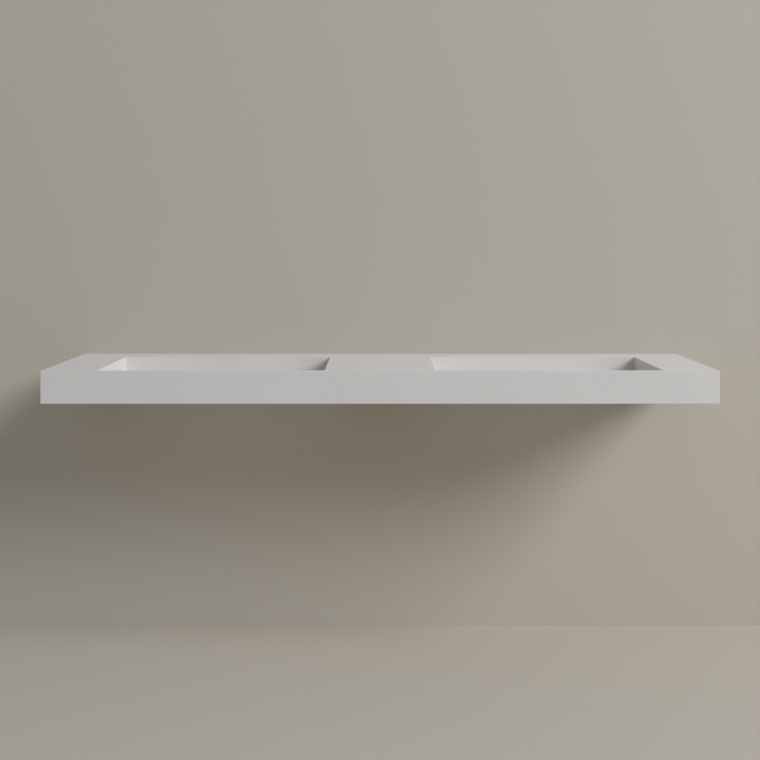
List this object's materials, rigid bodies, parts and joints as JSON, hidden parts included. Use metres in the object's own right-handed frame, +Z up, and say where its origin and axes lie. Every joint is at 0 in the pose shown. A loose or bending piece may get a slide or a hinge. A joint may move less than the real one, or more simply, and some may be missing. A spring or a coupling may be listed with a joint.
{
  "type": "double sink vanity top",
  "caption": "Wall-hung bathroom vanity top of thick-edged solid surface with two flush rectangular sinks, push drains and hidden brackets.",
  "frame": {"origin": "in the wall plane, on the centre line of the top, at the height of the bracket bolts, 57.7 mm below the deck", "axes": "+X along the top to the right as seen from the room, +Y into the wall, +Z up"},
  "size_m": [1.8288, 0.4826, 0.124],
  "materials": {
    "solid_surface": "sanded matt solid surface, warm white",
    "bearer_plywood": "sealed birch plywood",
    "bracket_steel": "grey powder coat over welded steel",
    "fastener_zinc": "bright zinc plate",
    "insert_brass": "plain turned brass",
    "drain_chrome": "polished chrome plate",
    "nut_brass": "plain machined brass",
    "rubber_seal": "black rubber",
    "slip_nylon": "natural nylon",
    "cartridge_acetal": "white acetal",
    "spring_steel": "stainless steel"
  },
  "bodies": {
    "top": {"deck_panel": "solid_surface", "front_apron": "solid_surface", "left_apron": "solid_surface", "right_apron": "solid_surface", "rear_rail": "solid_surface", "left_basin_back_wall": "solid_surface", "left_basin_left_wall": "solid_surface", "left_basin_right_wall": "solid_surface", "left_basin_floor": "solid_surface", "right_basin_back_wall": "solid_surface", "right_basin_left_wall": "solid_surface", "right_basin_right_wall": "solid_surface", "right_basin_floor": "solid_surface", "left_bearer": "bearer_plywood", "centre_bearer": "bearer_plywood", "right_bearer": "bearer_plywood", "left_end_bracket": "bracket_steel", "left_centre_bracket": "bracket_steel", "right_centre_bracket": "bracket_steel", "right_end_bracket": "bracket_steel", "bracket_screws": "fastener_zinc", "bracket_washers": "fastener_zinc", "bearer_inserts": "insert_brass", "left_drain_body": "drain_chrome", "left_flange_gasket": "rubber_seal", "left_drain_gasket": "rubber_seal", "left_slip_washer": "slip_nylon", "left_lock_nut": "nut_brass", "left_click_cartridge": "cartridge_acetal", "left_cartridge_guide": "cartridge_acetal", "left_return_spring": "spring_steel", "right_drain_body": "drain_chrome", "right_flange_gasket": "rubber_seal", "right_drain_gasket": "rubber_seal", "right_slip_washer": "slip_nylon", "right_lock_nut": "nut_brass", "right_click_cartridge": "cartridge_acetal", "right_cartridge_guide": "cartridge_acetal", "right_return_spring": "spring_steel"},
    "left_plug": {"left_plug_cap": "drain_chrome", "left_plug_seal": "rubber_seal", "left_plug_stem": "spring_steel", "left_latch_rotor": "cartridge_acetal"},
    "right_plug": {"right_plug_cap": "drain_chrome", "right_plug_seal": "rubber_seal", "right_plug_stem": "spring_steel", "right_latch_rotor": "cartridge_acetal"}
  },
  "joints": [
    {"name": "left_plug_slide", "type": "slide", "parent": "top", "child": "left_plug", "axis": [0, 0, 1], "range_m": [-0.008, 0], "stiffness_N_per_m": 600, "springref_m": 0.01, "deforming": ["left_return_spring"]},
    {"name": "right_plug_slide", "type": "slide", "parent": "top", "child": "right_plug", "axis": [0, 0, 1], "range_m": [-0.008, 0], "stiffness_N_per_m": 600, "springref_m": 0.01, "deforming": ["right_return_spring"]}
  ]
}
